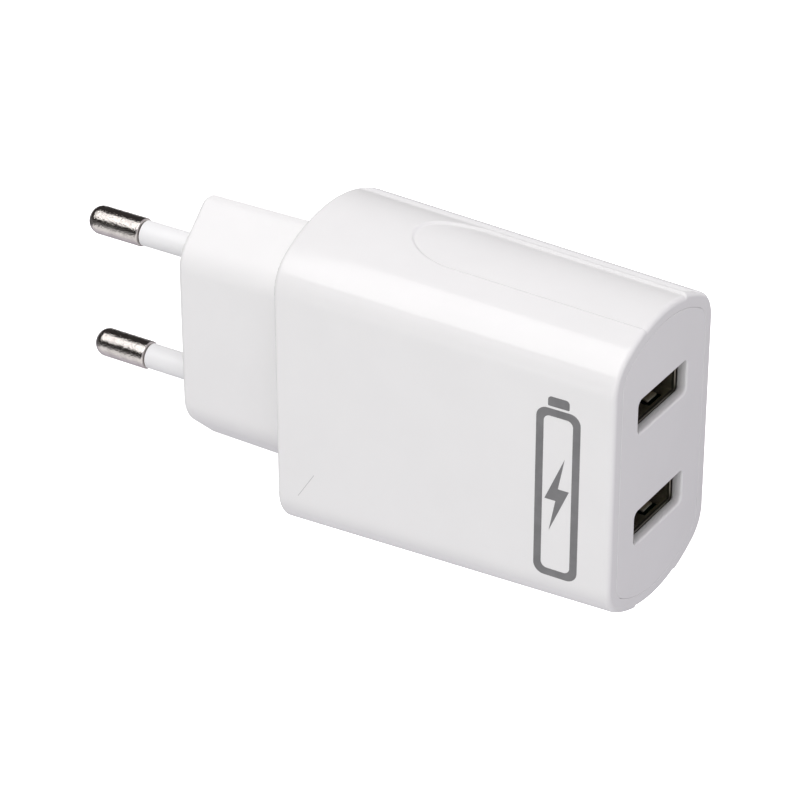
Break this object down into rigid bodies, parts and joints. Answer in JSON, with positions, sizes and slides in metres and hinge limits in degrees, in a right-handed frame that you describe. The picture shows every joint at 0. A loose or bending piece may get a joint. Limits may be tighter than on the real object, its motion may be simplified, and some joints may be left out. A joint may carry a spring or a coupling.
{
  "type": "usb wall charger",
  "caption": "White plug-in USB power adapter with a flat European two-pin plug base and USB-A sockets side by side in the far end.",
  "frame": {"origin": "middle of the plug base's end face, between the pins, where it meets the wall socket", "axes": "+X from the wall to the USB face, +Z from the lower pin to the upper pin, Y is the thickness"},
  "size_m": [0.0878, 0.027, 0.0452],
  "materials": {
    "gloss_white_abs": "glossy moulded ABS",
    "face_white_abs": "satin moulded ABS",
    "satin_white_abs": "satin moulded ABS",
    "pin_insulation": "matte moulded insulation",
    "nickel_plate": "nickel-plated brass, fine grain",
    "sprung_brass": "bright",
    "socket_steel": "plated steel sheet",
    "black_plastic": "moulded",
    "ferrite": "sintered, dark grey",
    "capacitor_can": "shrink sleeve",
    "circuit_board": "green solder mask",
    "winding_tape": "yellow tape",
    "blue_coating": "dipped epoxy",
    "beige_coating": "dipped coating",
    "clear_film": "translucent film"
  },
  "bodies": {
    "root": {"housing_sleeve": "gloss_white_abs", "usb_face_plate": "face_white_abs", "plug_base": "satin_white_abs", "pin_upper": "nickel_plate", "pin_sleeve_upper": "pin_insulation", "pin_clip_upper": "sprung_brass", "usb_shell_upper": "socket_steel", "usb_insulator_upper": "black_plastic", "usb_contact_upper_1": "sprung_brass", "usb_contact_upper_2": "sprung_brass", "usb_contact_upper_3": "sprung_brass", "usb_contact_upper_4": "sprung_brass", "transformer_core_upper": "ferrite", "input_capacitor_upper": "capacitor_can", "output_capacitor_upper": "capacitor_can", "pin_lower": "nickel_plate", "pin_sleeve_lower": "pin_insulation", "pin_clip_lower": "sprung_brass", "usb_shell_lower": "socket_steel", "usb_insulator_lower": "black_plastic", "usb_contact_lower_1": "sprung_brass", "usb_contact_lower_2": "sprung_brass", "usb_contact_lower_3": "sprung_brass", "usb_contact_lower_4": "sprung_brass", "transformer_core_lower": "ferrite", "input_capacitor_lower": "capacitor_can", "output_capacitor_lower": "capacitor_can", "main_board": "circuit_board", "transformer_bobbin": "black_plastic", "transformer_winding": "winding_tape", "output_capacitor_middle": "capacitor_can", "safety_capacitor": "blue_coating", "fuse_resistor": "beige_coating", "input_choke": "ferrite", "bridge_rectifier": "black_plastic", "controller_ic": "black_plastic", "rectifier_diode": "black_plastic", "usb_charge_ic": "black_plastic", "insulating_sheet": "clear_film"}
  },
  "joints": []
}
